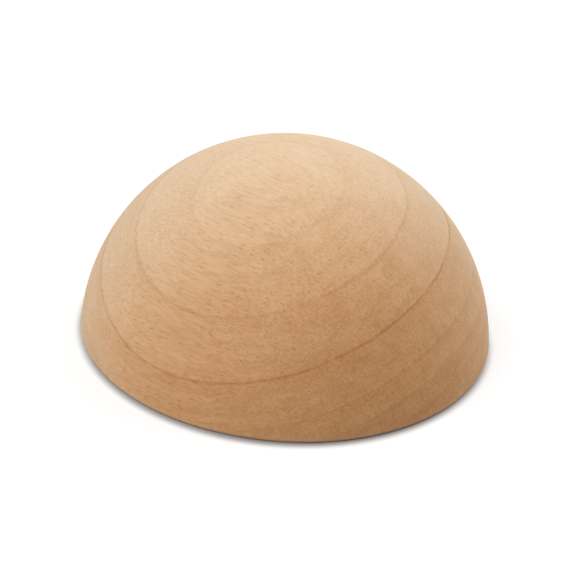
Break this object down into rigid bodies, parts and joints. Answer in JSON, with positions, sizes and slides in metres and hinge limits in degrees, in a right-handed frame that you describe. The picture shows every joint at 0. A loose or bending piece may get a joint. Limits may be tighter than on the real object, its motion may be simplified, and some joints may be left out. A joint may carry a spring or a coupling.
{
  "type": "wooden half ball",
  "caption": "Solid wooden half ball with a round dome, a sawn and sanded flat face and an eased rim, for gluing or screwing down by its flat.",
  "frame": {"origin": "centre of the flat face", "axes": "+Z is the dome's axis, from the flat face up through the crown; +X and +Y lie in the flat face and are free to choose, because the piece is round"},
  "size_m": [0.05, 0.05, 0.0243],
  "materials": {
    "bare_wood": "bare, sanded smooth"
  },
  "bodies": {
    "root": {"half_ball": "bare_wood"}
  },
  "joints": []
}
